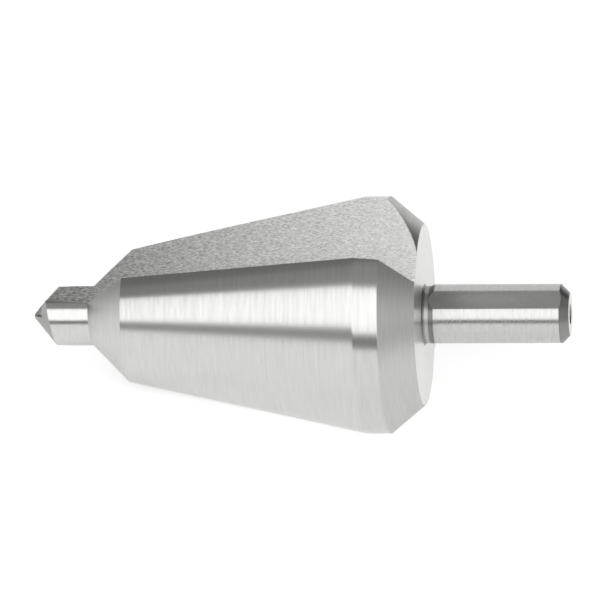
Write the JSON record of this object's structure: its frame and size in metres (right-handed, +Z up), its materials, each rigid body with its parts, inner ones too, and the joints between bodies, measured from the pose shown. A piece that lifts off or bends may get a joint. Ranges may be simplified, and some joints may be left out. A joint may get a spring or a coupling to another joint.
{
  "type": "cone drill bit",
  "caption": "Solid one-piece conical sheet-metal drill bit with a split pilot point, straight ground flutes and a shank with flats for a drill chuck.",
  "frame": {"origin": "middle of the bounding box in plan, on the surface the drill lies on", "axes": "+Z up; +X along the drill as seen in plan, from tip to shank end; the drill lies on its under flute, so its own axis rises 10.3 degrees towards the shank"},
  "size_m": [0.0884, 0.0394, 0.036],
  "materials": {
    "high_speed_steel": "ground high-speed steel, bright, uncoated"
  },
  "bodies": {
    "root": {"cone_drill": "high_speed_steel"}
  },
  "joints": []
}
